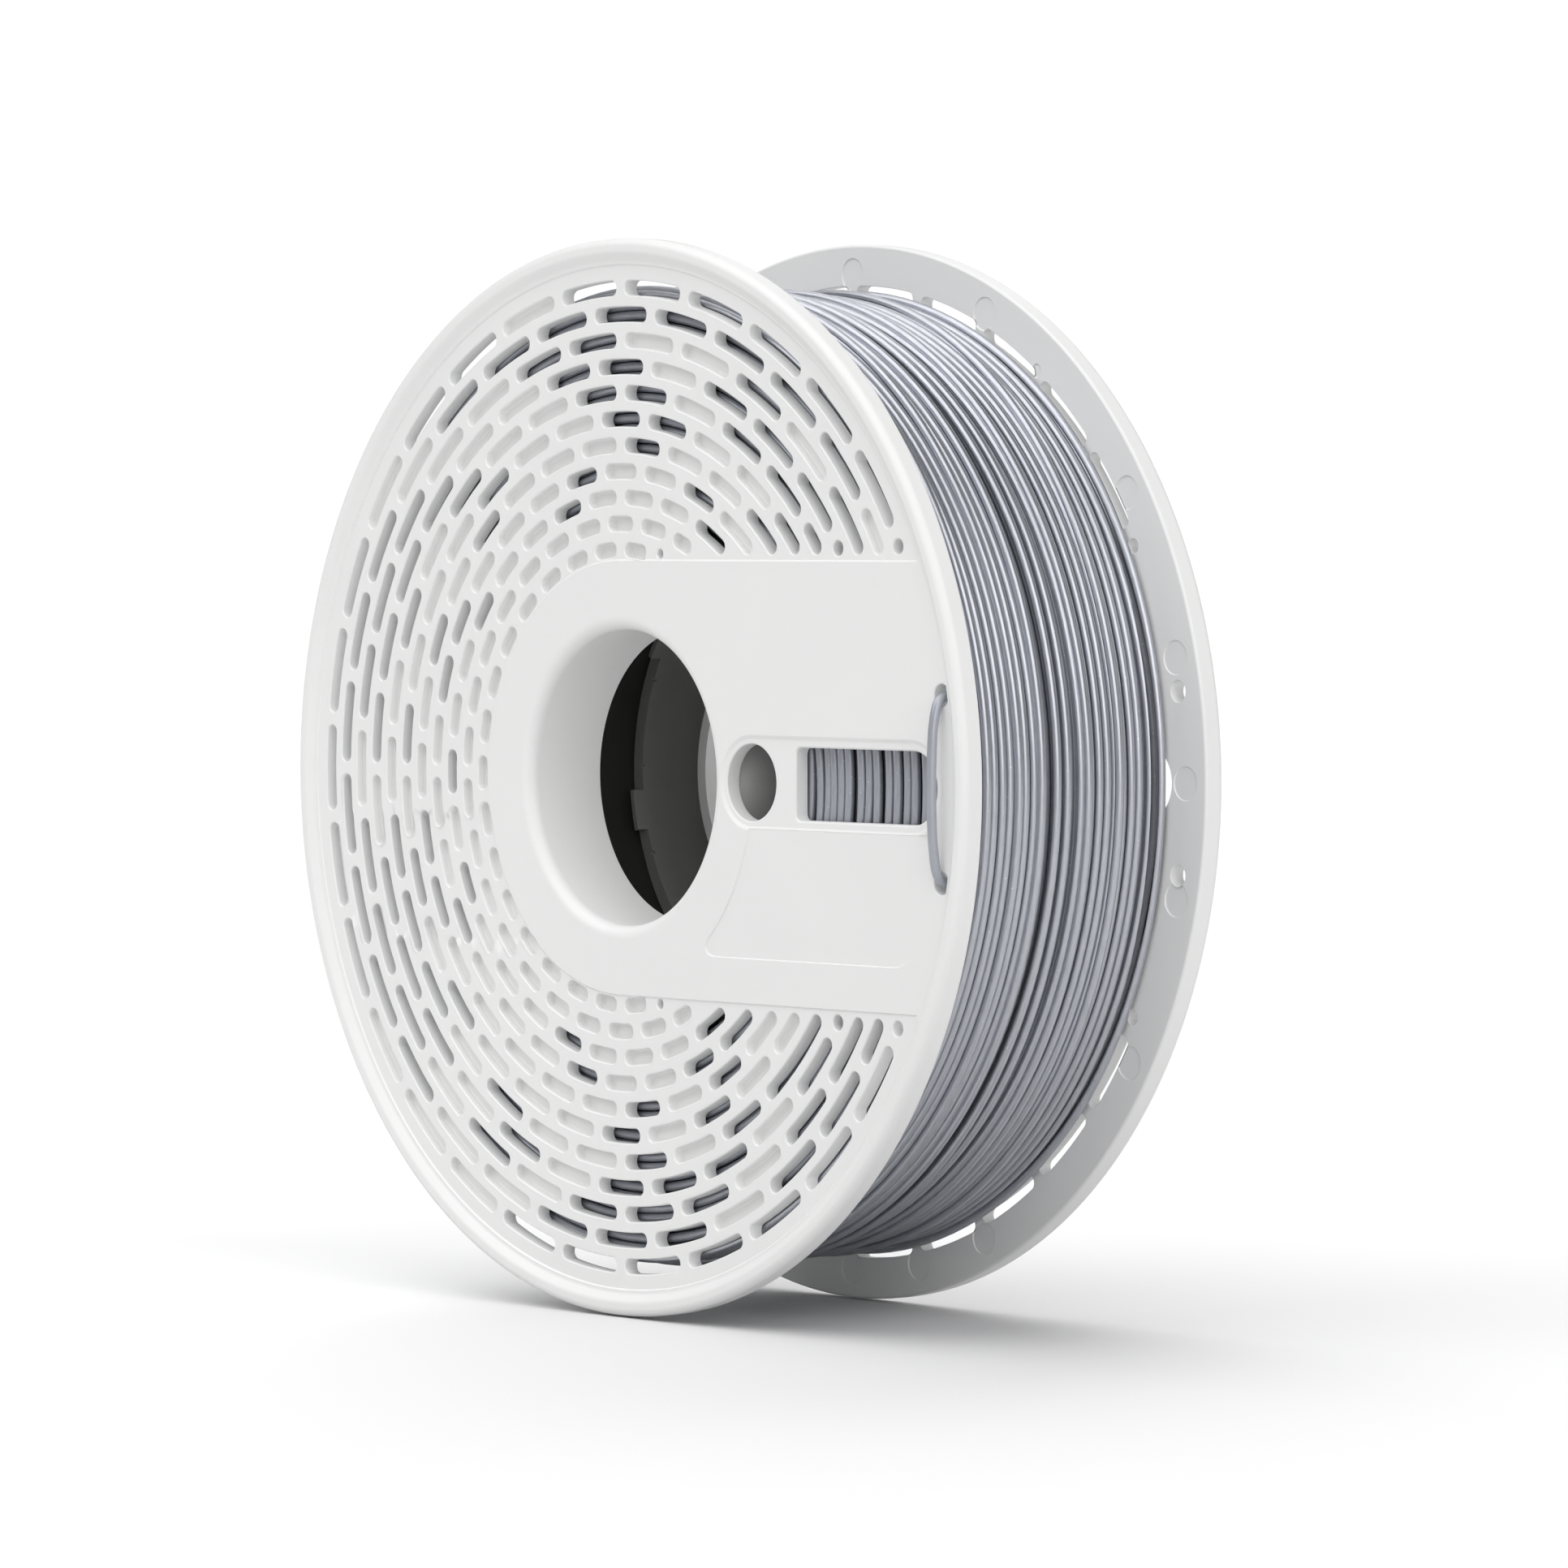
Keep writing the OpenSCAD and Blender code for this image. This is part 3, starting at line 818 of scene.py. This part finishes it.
# ---------------------------------------------------------------- floor, light and camera
floor_mesh = bpy.data.meshes.new("studio_floor")
FLOOR_HALF, FLOOR_Z = 12.0, cad_box[0].z - 0.0003
floor_mesh.from_pydata([(x * FLOOR_HALF, y * FLOOR_HALF, FLOOR_Z)
                        for x, y in ((-1, -1), (1, -1), (1, 1), (-1, 1))], [], [(0, 1, 2, 3)])
floor_piece = bpy.data.objects.new("studio_floor", floor_mesh)
scene.collection.objects.link(floor_piece)
paper, pn, pl, paper_bsdf = new_material("studio_paper")
paper_place = pn.new("ShaderNodeTexCoord").outputs["Object"]
paper_tone = pn.new("ShaderNodeMix")
paper_tone.data_type = "RGBA"
pl.new(pn.new("ShaderNodeLightPath").outputs["Is Camera Ray"], paper_tone.inputs["Factor"])
# The paper looks white, but throws less light back at the spool
for socket, dark, light in (("A", 0.59, 0.61), ("B", 0.735, 0.745)):
    tone = ramp(pn, pl, noise(pn, pl, paper_place, 3), [(0.3, (dark,) * 3), (0.7, (light,) * 3)])
    pl.new(tone, paper_tone.inputs[socket])
pl.new(paper_tone.outputs["Result"], paper_bsdf.inputs["Base Color"])
paper_bsdf.inputs["Roughness"].default_value = 0.9
paper_bsdf.inputs["Specular IOR Level"].default_value = 0.1
floor_mesh.materials.append(paper)

world = bpy.data.worlds.new("studio")
scene.world = world
world.use_nodes = True
wn, wl = world.node_tree.nodes, world.node_tree.links
wn["Background"].inputs["Color"].default_value = (1, 1, 1, 1)

# A bright backdrop low behind the spool, and an even dim glow everywhere else
way = wn.new("ShaderNodeSeparateXYZ")
wl.new(wn.new("ShaderNodeTexCoord").outputs["Generated"], way.inputs["Vector"])
glow = None
for axis, start, end in (("Y", 0.1, 0.8), ("Z", 0.65, 0.1)):
    span = wn.new("ShaderNodeMapRange")
    span.inputs["From Min"].default_value, span.inputs["From Max"].default_value = start, end
    wl.new(way.outputs[axis], span.inputs["Value"])
    if glow is None:
        glow = span.outputs["Result"]
    else:
        both = wn.new("ShaderNodeMath")
        both.operation = "MULTIPLY"
        wl.new(glow, both.inputs[0])
        wl.new(span.outputs["Result"], both.inputs[1])
        glow = both.outputs["Value"]
level = wn.new("ShaderNodeMath")
level.operation = "MULTIPLY_ADD"
wl.new(glow, level.inputs[0])
level.inputs[1].default_value, level.inputs[2].default_value = 0.8, 0.27
wl.new(level.outputs["Value"], wn["Background"].inputs["Strength"])
seen = wn.new("ShaderNodeBackground")
seen.inputs["Color"].default_value = (1, 1, 1, 1)
seen.inputs["Strength"].default_value = 1.05
mirrored = wn.new("ShaderNodeBackground")
mirrored.inputs["Color"].default_value = (1, 1, 1, 1)
mirrored.inputs["Strength"].default_value = 0.15
ray = wn.new("ShaderNodeLightPath")
soft = wn.new("ShaderNodeMixShader")
wl.new(ray.outputs["Is Glossy Ray"], soft.inputs["Fac"])
wl.new(wn["Background"].outputs["Background"], soft.inputs[1])
wl.new(mirrored.outputs["Background"], soft.inputs[2])
either = wn.new("ShaderNodeMixShader")
wl.new(ray.outputs["Is Camera Ray"], either.inputs["Fac"])
wl.new(soft.outputs["Shader"], either.inputs[1])
wl.new(seen.outputs["Background"], either.inputs[2])
wl.new(either.outputs["Shader"], wn["World Output"].inputs["Surface"])


def sky_panel(name, towards, energy, spread):
    """A large far panel; towards points from the object to it."""
    light = bpy.data.lights.new(name, "SUN")
    light.energy, light.angle = energy, math.radians(spread)
    lamp = bpy.data.objects.new(name, light)
    lamp.rotation_mode = "QUATERNION"
    lamp.rotation_quaternion = (-Vector(towards)).to_track_quat("-Z", "Y")
    scene.collection.objects.link(lamp)
    return lamp


sky_panel("top_panel", (-0.25, -0.48, 0.84), 1.9, 75)
sky_panel("back_panel", (-0.6, 0.5, 0.62), 0.35, 40)
sky_panel("right_panel", (0.82, -0.3, 0.49), 1.3, 60)
lit_floor = bpy.data.collections.new("lit_floor")
lit_floor.objects.link(floor_piece)
sky_panel("floor_panel", (-0.67, 0.34, 0.66), 1.5, 55).light_linking.receiver_collection = lit_floor

YAW, PITCH = math.radians(50.73), math.radians(1.72)
back = Vector((math.sin(YAW) * math.cos(PITCH), -math.cos(YAW) * math.cos(PITCH), math.sin(PITCH)))
right = (-back).cross(Vector((0, 0, 1))).normalized()
up = right.cross(-back)
camera_data = bpy.data.cameras.new("photo_camera")
camera_data.sensor_width = 36
camera_data.lens = 189.9
camera_data.clip_start, camera_data.clip_end = 0.05, 60
camera = bpy.data.objects.new("photo_camera", camera_data)
camera.location = Vector((0, -0.002, 0)) + back * 1.5527 + right * 0.0091 - up * 0.00168
camera.rotation_mode = "QUATERNION"
camera.rotation_quaternion = (-back).to_track_quat("-Z", "Y")
scene.collection.objects.link(camera)
scene.camera = camera
scene.view_settings.view_transform = "Standard"
